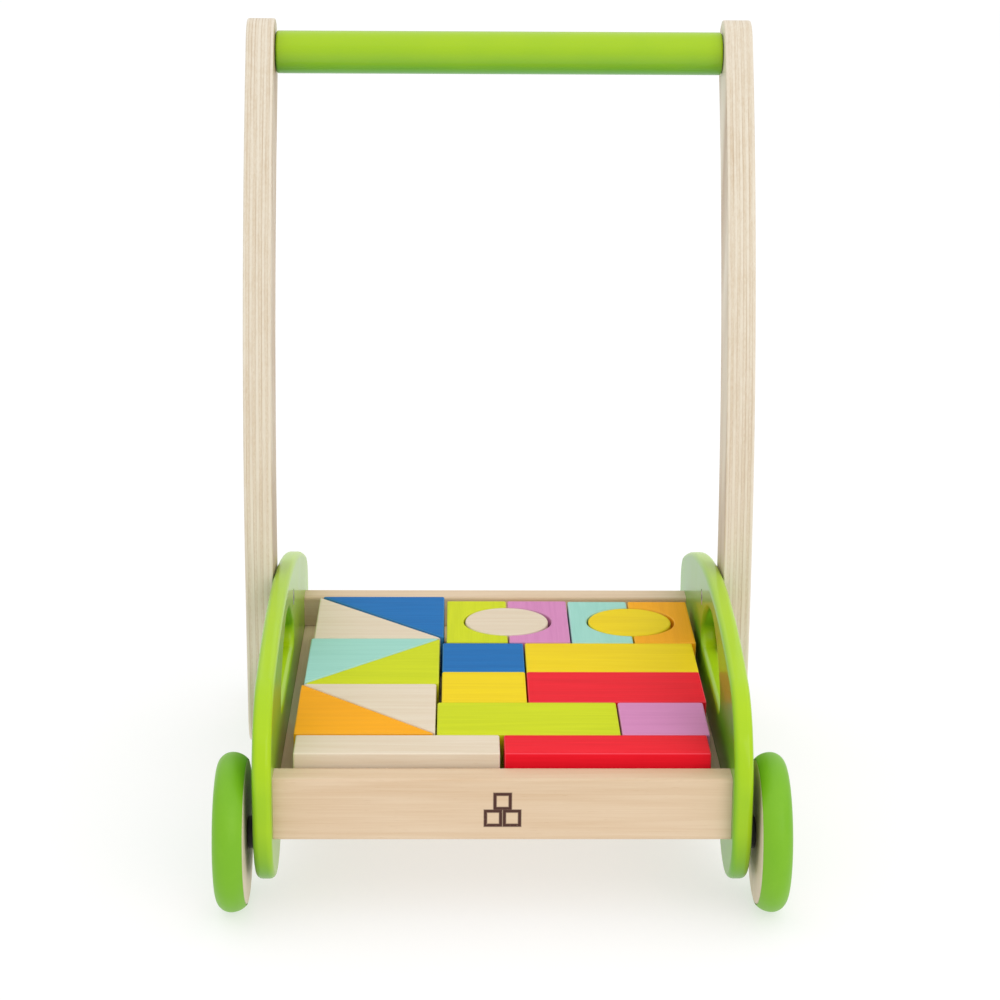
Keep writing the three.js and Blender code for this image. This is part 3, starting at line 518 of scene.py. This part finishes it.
def panel_blank(low, high):
    x, reach = low.x, high.y
    lobe_y, lobe_z = reach - LOBE_RADIUS, low.z + LOBE_RADIUS
    lobe = Vector((x, lobe_y, lobe_z))
    crown = Vector((x, CROWN_Y, high.z - CROWN_RADIUS))
    under = Vector((x, 0, low.z + UNDERSIDE_RISE - UNDERSIDE_RADIUS))
    fillet = circles_meet(under, UNDERSIDE_RADIUS - UNDERSIDE_FILLET, lobe, LOBE_RADIUS + UNDERSIDE_FILLET)
    front_lobe, front_fillet = Vector((x, -lobe_y, lobe_z)), Vector((x, -fillet.y, fillet.z))
    rear = shoulder_centre(crown, reach, REAR_SHOULDER, 1)
    front = shoulder_centre(crown, reach, FRONT_SHOULDER, -1)
    lobe_start, under_end = bearing(lobe, fillet), bearing(under, fillet)
    rear_end, front_start = bearing(crown, rear), bearing(crown, front)
    bm = draw(Vector((x, 0, low.z + UNDERSIDE_RISE)), [
        (under, under_end - 90),
        (fillet, lobe_start + 180 - under_end),
        (lobe, -lobe_start),
        Vector((x, reach, rear.z)),
        (rear, rear_end),
        (crown, front_start - rear_end),
        (front, 180 - front_start),
        Vector((x, -reach, lobe_z)),
        (front_lobe, -lobe_start),
        (front_fillet, lobe_start + 180 - under_end),
        (under, under_end - 90),
    ], X_AXIS, step=2.0)
    return thicken(bm, Vector((high.x - low.x, 0, 0)))


def window_cutter(low, high):
    top = high.z - WINDOW_BELOW_TOP
    x = low.x - SAW_REACH
    centre = Vector((x, WINDOW_MIDDLE_Y, top - WINDOW_ARC))
    corner_z = top - WINDOW_TALL + WINDOW_CORNER
    half = math.sqrt((WINDOW_ARC - WINDOW_CORNER) ** 2 - (corner_z - centre.z) ** 2)
    right, left = (Vector((x, centre.y + side * half, corner_z)) for side in (1, -1))
    meet = bearing(centre, right)
    bm = draw(right - Z_AXIS * WINDOW_CORNER, [
        (right, meet + 90), (centre, 180 - 2 * meet), (left, meet + 90),
    ], X_AXIS, step=4.0)
    return thicken(bm, Vector((high.x - low.x + 2 * SAW_REACH, 0, 0)))


def make_panel(node, side):
    low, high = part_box(node)
    bm = drill(panel_blank(low, high), window_cutter(low, high))
    soften(bm, sharp_edges(bm), PANEL_ROUND)
    tools = bmesh.new()
    inside, outside = (low.x, high.x) if side > 0 else (high.x, low.x)
    label = "right" if side > 0 else "left"
    for name in [f"front_{label}_board_screw", f"rear_{label}_board_screw",
                 f"{label}_upper_arm_nut", f"{label}_lower_arm_nut"]:
        a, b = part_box(name)
        middle = (a + b) / 2
        head_radius = (b.z - a.z) / 2 + DRILL_PLAY
        mouth, depth, out = (outside, SCREW_SEAT, side) if "screw" in name else (inside, NUT_SEAT, -side)
        seat = Vector((mouth - out * depth, middle.y, middle.z))
        rod(tools, seat, seat + X_AXIS * (out * DRILL_REACH), head_radius)
    for end in ("front", "rear"):
        a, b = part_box(f"{end}_axle")
        middle = (a + b) / 2
        bore = (b.z - a.z) / 2 + DRILL_PLAY
        rod(tools, Vector((inside - side * MM, middle.y, middle.z)),
            Vector((outside + side * MM, middle.y, middle.z)), bore)
    fit(node, drill(bm, tools), panel_finish)


for label, side in (("left", -1), ("right", 1)):
    make_panel(f"{label}_side_panel", side)

# %% [markdown]
# ## The arms and the push bar
# An arm is sawn in one piece from plywood: a round lower end, a straight length that is bolted to
# the side panel, and a long sweep back to a round top. The outline is drawn as one wire, with both
# long sides swung about the same far centre, so that the arm keeps its width. The two bolt heads
# and the screw for the push bar sit in pockets in the outer face. The bar is a plain turned dowel.

# %% Arms and push bar
ARM_SWEEP_RADIUS = 0.56
ARM_ROUND, BAR_ROUND, ARM_SEAT = 0.9 * MM, 1.5 * MM, 4.2 * MM


def make_arm(label, side):
    node = f"{label}_handle_arm"
    low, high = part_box(node)
    bolt_low, bolt_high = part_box(f"{label}_lower_arm_bolt")
    foot_y = (bolt_low.y + bolt_high.y) / 2
    half = foot_y - low.y
    foot = Vector((low.x, foot_y, low.z + half))
    top = Vector((low.x, high.y - half, high.z - half))
    sweep = math.acos(1 - (top.y - foot.y) / ARM_SWEEP_RADIUS)
    bend_z = top.z - ARM_SWEEP_RADIUS * math.sin(sweep)
    far = Vector((low.x, foot.y + ARM_SWEEP_RADIUS, bend_z))
    degrees = math.degrees(sweep)
    bm = draw(foot - Y_AXIS * half, [
        (foot, 180),
        Vector((low.x, foot.y + half, bend_z)),
        (far, -degrees),
        (top, 180),
        (far, degrees),
    ], X_AXIS, step=3.0)
    thicken(bm, X_AXIS * (high.x - low.x))
    soften(bm, sharp_edges(bm), ARM_ROUND, 3)
    tools = bmesh.new()
    outside = high.x if side > 0 else low.x
    for name in (f"{label}_upper_arm_bolt", f"{label}_lower_arm_bolt", f"{label}_handle_screw"):
        a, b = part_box(name)
        middle = (a + b) / 2
        seat = Vector((outside - side * ARM_SEAT, middle.y, middle.z))
        rod(tools, seat, seat + X_AXIS * (side * DRILL_REACH), (b.z - a.z) / 2 + DRILL_PLAY)
    fit(node, drill(bm, tools), plywood(f"{label}_arm_plywood", low.x, high.x - low.x))


for label, side in (("left", -1), ("right", 1)):
    make_arm(label, side)

low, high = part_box("handle_bar")
middle = (low + high) / 2
bar = rod(bmesh.new(), Vector((low.x, middle.y, middle.z)), Vector((high.x, middle.y, middle.z)),
          (high.z - low.z) / 2, segments=96)
soften(bar, sharp_edges(bar), BAR_ROUND)
fit("handle_bar", bar, handle_finish)
print("push bar length", round((high.x - low.x) * 1000, 1), "mm")

# %% [markdown]
# ## The tray
# Two solid boards close the tray at the front and at the back, and a thin floor sits in a groove
# in each. The boards' long edges are only eased, and their ends run right up to the panels. A small
# mark of three plain squares is burnt into the front board: it is only a mask in the finish, where
# the wood goes dark and slightly matt.

# %% Boards and floor
BOARD_ROUND, FLOOR_ROUND, GROOVE_PLAY, JOINT_FILL = 1.6 * MM, 0.4 * MM, 0.3 * MM, 0.27 * MM
MARK_SQUARES = [(-4.6, -4.4), (4.6, -4.4), (0.0, 4.4)]
MARK_HALF, MARK_LINE = 3.7 * MM, 0.9 * MM


def burnt_mark(finish, middle, front_y):
    """1 on the outlines of three stacked squares, on the front face only."""
    x, y, z = finish.split(finish.place())
    nearest = None
    for across, up in MARK_SQUARES:
        dx = abs(x - (middle.x + across * MM))
        dz = abs(z - (middle.z + up * MM))
        rim = abs(dx.math("MAXIMUM", dz) - MARK_HALF)
        nearest = rim if nearest is None else nearest.math("MINIMUM", rim)
    line = 1.0 - nearest.between(MARK_LINE * 0.55, MARK_LINE * 1.35)
    char = finish.noise(finish.place(), 900.0, 2.0)
    on_front = 1.0 - y.between(front_y + 0.2 * MM, front_y + 0.6 * MM)
    return line * on_front * char.between(0.05, 0.35)


def board_finish(name, shift, mark=None):
    finish = Finish(name, Specular_IOR_Level=0.35)
    bands, fibres, pores = wood_figure(finish, (0, 0, 0), shift, 0.035)
    cloud = finish.noise(finish.place(shift, (0, 0, 0), (0.25, 1, 1)), 26.0, 2.0)
    amount = bands * 0.22 + (fibres - 0.5) * 0.8 + (cloud - 0.5) * 0.8 + 0.2
    colour = finish.mix(amount, linear("e0c8ab"), linear("ccaa83"))
    colour = finish.mix(pores * 0.25, colour, linear("b99468"))
    rough = fibres * 0.16 + 0.44
    height = fibres * 0.7 + bands * 0.3 - pores * 0.6
    if mark:
        burn = burnt_mark(finish, *mark)
        colour = finish.mix(burn, colour, linear("4a2a22"))
        rough, height = rough + burn * 0.2, height - burn * 3.0
    finish.set(Base_Color=colour, Roughness=rough)
    finish.bump(height, 0.05 * MM, 0.45)
    return finish


floor_low, floor_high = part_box("tray_floor")
groove_play = Vector((MM, GROOVE_PLAY, GROOVE_PLAY))
for node, shift in (("front_board", (0.31, 0.2, 0.13)), ("back_board", (0.77, 0.5, 0.4))):
    low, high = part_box(node)
    board = brick(low - X_AXIS * JOINT_FILL, high + X_AXIS * JOINT_FILL)
    long_edges = [e for e in board.edges if abs((e.verts[0].co - e.verts[1].co).x) > 0.1]
    soften(board, long_edges, BOARD_ROUND)
    groove = brick(floor_low - groove_play, floor_high + groove_play)
    mark = ((low + high) / 2, low.y) if node == "front_board" else None
    fit(node, drill(board, groove), board_finish(f"{node}_wood", shift, mark))

floor_sheet = brick(floor_low - X_AXIS * JOINT_FILL, floor_high + X_AXIS * JOINT_FILL)
soften(floor_sheet, floor_sheet.edges[:], FLOOR_ROUND, 2)
fit("tray_floor", floor_sheet, wood("floor_plywood", "e3cda9", "c39d6f", (0, 0, 90), (0.4, 0.2, 0.1)))
print("tray floor", [round((b - a) * 1000, 1) for a, b in zip(floor_low, floor_high)])

# %% [markdown]
# ## The wheels
# A wheel is two parts: a turned wooden disc with a thin flange on its inner side, and a moulded
# green tyre that is pushed over it. Both are half profiles drawn in millimetres from the axle and
# from the wheel's inner face, and spun once. The tyre's crown is two arcs that meet on the rolling
# line, the outer one tighter. A turned wooden cap covers the end of each steel axle, and a black
# nylon spacer keeps the wheel off the panel. Its near-black is also painted shade for the dark gap
# between the wheel and the panel.

# %% Wheels, caps, spacers and axles
CROWN_ALONG, INNER_DROP = 7.8 * MM, 3.7 * MM
TYRE_REBATE, TYRE_SEAT, REBATE_WIDTH = 3.7 * MM, 10 * MM, 3.3 * MM
TYRE_ROUND, AXLE_ROUND = 0.5 * MM, 0.4 * MM
DISC_SEAT, DISC_FLANGE, FLANGE_WIDTH, FACE_RECESS = 10.3, 4, 3, 1.5
BORE, CAP_POCKET, POCKET_DEPTH, POCKET_CHAMFER = 2.8, 8.8, 6, 0.8
CAP_RADIUS, CAP_LENGTH, CAP_WALL, CAP_START_GAP = 8.5, 5, 1.2, 0.3
CAP_DOME = [(0, 1.8), (0.9, 0.6), (3.5, 0.1)]
SPACER_RADIUS, SPACER_START, SPACER_END = 8, -3.7, -0.3


def profile(points, origin, side):
    """(radius, distance from the inner face) pairs in millimetres, as points above the axle."""
    return [origin + Vector((side * along * MM, 0, radius * MM)) for radius, along in points]


def turned(points, origin, side, steps=96, rounding=0.35):
    start, *rest = profile(points, origin, side)
    bm = turn_on_lathe(draw(start, rest, Y_AXIS), origin, steps)
    if rounding:
        soften(bm, sharp_edges(bm), rounding * MM, 2)
    return bm


def tyre(origin, side, radius, width):
    """The tyre's profile: its crown is swung, and the rest is straight."""
    inner = (CROWN_ALONG ** 2 + INNER_DROP ** 2) / (2 * INNER_DROP)
    outer = width - CROWN_ALONG
    crown_x = origin.x + side * CROWN_ALONG
    swing = math.degrees(math.asin(CROWN_ALONG / inner))
    flange, seat = radius - TYRE_REBATE, radius - TYRE_SEAT

    def at(distance, along):
        return origin + Vector((side * along, 0, distance))

    bm = draw(at(flange, 0), [
        (Vector((crown_x, origin.y, origin.z + radius - inner)), side * swing),
        (Vector((crown_x, origin.y, origin.z + radius - outer)), side * 90),
        at(seat, width), at(seat, REBATE_WIDTH), at(flange, REBATE_WIDTH),
    ], Y_AXIS, step=6.0)
    turn_on_lathe(bm, origin, 128)
    return soften(bm, sharp_edges(bm, math.radians(50)), TYRE_ROUND, 2)


def disc_points(radius, width):
    seat, flange, face = radius - DISC_SEAT, radius - DISC_FLANGE, width - FACE_RECESS
    return [
        (BORE, 0), (flange, 0), (flange, FLANGE_WIDTH), (seat, FLANGE_WIDTH), (seat, face),
        (CAP_POCKET + POCKET_CHAMFER, face), (CAP_POCKET, face - POCKET_CHAMFER),
        (CAP_POCKET, face - POCKET_DEPTH), (BORE, face - POCKET_DEPTH),
    ]


def cap_points(start):
    """The cap's profile, with a dome of points given as steps in from its rim and down from its top."""
    top = start + CAP_LENGTH
    dome = [(CAP_RADIUS - inwards, top - down) for inwards, down in CAP_DOME]
    return [(BORE, start), (CAP_RADIUS, start), *dome, (0, top), (0, top - CAP_WALL), (BORE, top - CAP_WALL)]


def wheel_set(end, label, side, number):
    low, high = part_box(f"{end}_{label}_tyre")
    origin = Vector((low.x if side > 0 else high.x, (low.y + high.y) / 2, (low.z + high.z) / 2))
    radius, width = (high.z - low.z) / 2, high.x - low.x
    fit(f"{end}_{label}_tyre", tyre(origin, side, radius, width), tyre_finish)
    shift = (0.13 * number, 0.07 * number, 0.21 * number)
    disc_wood = wood(f"{end}_{label}_wheel_wood", *NATURAL, (0, 90, 0), shift)
    points = disc_points(radius / MM, width / MM)
    fit(f"{end}_{label}_wheel_disc", turned(points, origin, side, rounding=0.5), disc_wood)
    cap = cap_points(width / MM - FACE_RECESS - POCKET_DEPTH + CAP_START_GAP)
    fit(f"{end}_{label}_axle_cap", turned(cap, origin, side, 48, 0.2), disc_wood)
    # The spacer's near-black nylon also paints the shade in the gap between the wheel and the panel.
    spacer = [(BORE, SPACER_START), (SPACER_RADIUS, SPACER_START), (SPACER_RADIUS, SPACER_END),
              (BORE, SPACER_END)]
    fit(f"{end}_{label}_wheel_spacer", turned(spacer, origin, side, 48), gap_shade_nylon_finish)


corners = [(end, label) for end in ("front", "rear") for label in ("left", "right")]
for number, (end, label) in enumerate(corners):
    wheel_set(end, label, 1 if label == "right" else -1, number + 1)
for end in ("front", "rear"):
    low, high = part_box(f"{end}_axle")
    middle = (low + high) / 2
    axle = rod(bmesh.new(), Vector((low.x, middle.y, middle.z)), Vector((high.x, middle.y, middle.z)),
               (high.z - low.z) / 2)
    soften(axle, sharp_edges(axle), AXLE_ROUND, 2)
    fit(f"{end}_axle", axle, steel_finish)
print("wheels:", len(corners))

# %% [markdown]
# ## Screws, bolts and nuts
# All the fasteners are socket heads, sunk just below the wood. Each is turned from a stepped
# profile with a small chamfer on the head, and its hexagon socket is a six-sided drill. The sleeve
# nuts show as dark discs in the inner faces of the panels.

# %% Fasteners
BOLT = {"head": 3.2, "shank": 2.0, "socket": 2.0, "depth": 1.8}
NUT = {"head": 1.5, "shank": 3.2, "socket": 2.0, "depth": 1.0}
SCREW = {"head": 2.8, "shank": 1.8, "socket": 1.7, "depth": 1.6}
TIP_LENGTH, TIP_SHARE, HEAD_CHAMFER = 2.0, 0.2, 0.5


def fastener(node, out, kind, finish):
    """A headed piece along X, in millimetres, with its head on the side that out points to."""
    low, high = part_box(node)
    middle = (low + high) / 2
    mouth = high.x if out > 0 else low.x
    tail = low.x if out > 0 else high.x
    head = (high.z - low.z) / 2 / MM
    long = abs(mouth - tail) / MM
    shank, under_head = kind["shank"], long - kind["head"]
    points = [
        (0, 0), (shank / 2, 0), (shank, min(TIP_LENGTH, long * TIP_SHARE)), (shank, under_head),
        (head, under_head), (head, long - HEAD_CHAMFER), (head - HEAD_CHAMFER, long), (0, long),
    ]
    bm = turned(points, Vector((tail, middle.y, middle.z)), out, 48, 0)
    tool = rod(bmesh.new(), Vector((mouth - out * kind["depth"] * MM, middle.y, middle.z)),
               Vector((mouth + out * MM, middle.y, middle.z)), kind["socket"] * MM, segments=6)
    fit(node, drill(bm, tool), finish)


for label, side in (("left", -1), ("right", 1)):
    for level in ("upper", "lower"):
        fastener(f"{label}_{level}_arm_bolt", side, BOLT, steel_finish)
        fastener(f"{label}_{level}_arm_nut", -side, NUT, dark_steel_finish)
    for end in ("front", "rear"):
        fastener(f"{end}_{label}_board_screw", side, SCREW, steel_finish)
    fastener(f"{label}_handle_screw", side, SCREW, steel_finish)
print("fasteners done")

# %% [markdown]
# ## The blocks
# Twenty blocks fill the tray: two planks, three squares that are each sawn into two triangles,
# three rows of a short and a long block, and two pairs of bridges that close round a disc. They
# are plain wood, sanded and dipped in stain, so the grain shows through and the stain is thinner
# on the rounded edges. Each block has its own piece of wood: the same finish is built for each
# with the noise shifted, so that the grain never runs on from one block into the next.

# %% Blocks
BLOCK_ROUND, BLOCK_GAP = 1.0 * MM, 0.8 * MM
OPENING_RADIUS_UNITS, BRIDGE_WIDTH_UNITS = 1.06, 1.51
TIP_TRIM = 2.1 * MM
RIGHT_ANGLE = {
    "block_triangle_orange": "sw", "block_triangle_natural_front": "ne",
    "block_triangle_lime": "se", "block_triangle_mint": "nw",
    "block_triangle_natural_back": "sw", "block_triangle_blue": "ne",
}


def block_outline(node, low, high):
    """The block's outline at its base: a box, a triangle, a bridge or a disc."""
    z = low.z
    corner = {"se": Vector((high.x, low.y, z)), "ne": Vector((high.x, high.y, z)),
              "nw": Vector((low.x, high.y, z)), "sw": Vector((low.x, low.y, z))}
    middle = (low + high) / 2
    if "disc" in node:
        centre = Vector((middle.x, middle.y, z))
        return draw(centre + X_AXIS * ((high.x - low.x) / 2), [(centre, 360)], Z_AXIS, step=3.75)
    if "arch" in node:
        opens = 1 if node in ("block_arch_lime", "block_arch_mint") else -1
        x = high.x if opens > 0 else low.x
        centre = Vector((x, middle.y, z))
        far = ("nw", "sw", "se") if opens > 0 else ("se", "ne", "nw")
        last = "ne" if opens > 0 else "sw"
        strokes = [corner[far[1]], corner[far[2]], centre - Y_AXIS * (opens * ARCH_OPENING),
                   (centre, -180), corner[last]]
        return draw(corner[far[0]], strokes, Z_AXIS)
    if "triangle" in node:
        square = RIGHT_ANGLE[node]
        right = corner[square]
        beside = corner[square[0] + ("e" if square[1] == "w" else "w")]
        along = corner[("n" if square[0] == "s" else "s") + square[1]]
        tips = [tip + (tip - right).normalized() * TIP_TRIM for tip in (beside, along)]
        return draw(right, tips, Z_AXIS)
    start, *rest = (corner[name] for name in ("sw", "se", "ne", "nw"))
    return draw(start, rest, Z_AXIS)


arch_low, arch_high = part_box("block_arch_lime")
ARCH_OPENING = (arch_high.x - arch_low.x + BLOCK_GAP) * (OPENING_RADIUS_UNITS / BRIDGE_WIDTH_UNITS)
block_nodes = sorted(name for name in SLOT_OF if name.startswith("block_"))
for number, node in enumerate(block_nodes):
    low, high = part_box(node)
    bm = thicken(block_outline(node, low, high), Z_AXIS * (high.z - low.z))
    soften(bm, sharp_edges(bm), BLOCK_ROUND, 3)
    shift = (0.173 * number + 0.05, 0.091 * number, 0.057 * number)
    turn = 90 if "arch" in node else 0
    pale, dark, edge = STAINS[SLOT_OF[node]]
    stain = wood(f"{node}_stain", pale, dark, (0, 0, turn), shift, 0.8, edge, rough=0.6, specular=0.12)
    fit(node, bm, stain)
print("blocks:", len(block_nodes))

# %% [markdown]
# ## Floor and light
# The walker stands on a plain pale floor under soft light. An even white world stands in for the
# studio walls, a very broad overhead light gives the tops their brightness, and a large, slightly
# warm light from the front right brightens the faces that look towards it. The floor is lit from
# within like a light table for a part of its brightness, so the shadow on it stays faint.

# %% Floor, world and lights
floor_mesh = bmesh.new()
bmesh.ops.create_grid(floor_mesh, x_segments=1, y_segments=1, size=20.0)
floor_data = bpy.data.meshes.new("studio_floor")
floor_mesh.to_mesh(floor_data)
floor_mesh.free()
studio_floor = bpy.data.objects.new("studio_floor", floor_data)
bpy.context.scene.collection.objects.link(studio_floor)
FLOOR_GLOW = 0.6
floor_finish = Finish("floor_paint", Specular_IOR_Level=0.0)
floor_cloud = floor_finish.noise(floor_finish.place(), 3.0, 2.0)
floor_finish.set(Base_Color=floor_finish.mix(floor_cloud, (0.40, 0.40, 0.40, 1), (0.42, 0.42, 0.42, 1)),
                 Roughness=0.9, Emission_Color=(1.0, 1.0, 1.0, 1.0), Emission_Strength=FLOOR_GLOW)
floor_data.materials.append(floor_finish.material)

WORLD_STRENGTH = 0.8
world = bpy.data.worlds.new("studio")
world.use_nodes = True
world.node_tree.nodes["Background"].inputs["Color"].default_value = (1.0, 1.0, 1.0, 1.0)
world.node_tree.nodes["Background"].inputs["Strength"].default_value = WORLD_STRENGTH
bpy.context.scene.world = world


def lamp(name, kind, place, aim, colour, **settings):
    data = bpy.data.lights.new(name, kind)
    data.color = colour
    for key, value in settings.items():
        setattr(data, key, value)
    made = bpy.data.objects.new(name, data)
    made.location = place
    made.rotation_mode = "QUATERNION"
    made.rotation_quaternion = (Vector(aim) - Vector(place)).to_track_quat("-Z", "Y")
    bpy.context.scene.collection.objects.link(made)


lamp("overhead", "SUN", (0.2, 0.3, 3.0), (0, 0, 0), (1.0, 1.0, 1.0),
     energy=0.75, angle=math.radians(110))
lamp("warm_front", "AREA", (1.3, -2.2, 1.5), (0, 0, 0.15), (1.0, 0.95, 0.84),
     energy=14.0, shape="SQUARE", size=1.6)
bpy.context.scene.view_settings.view_transform = "Standard"
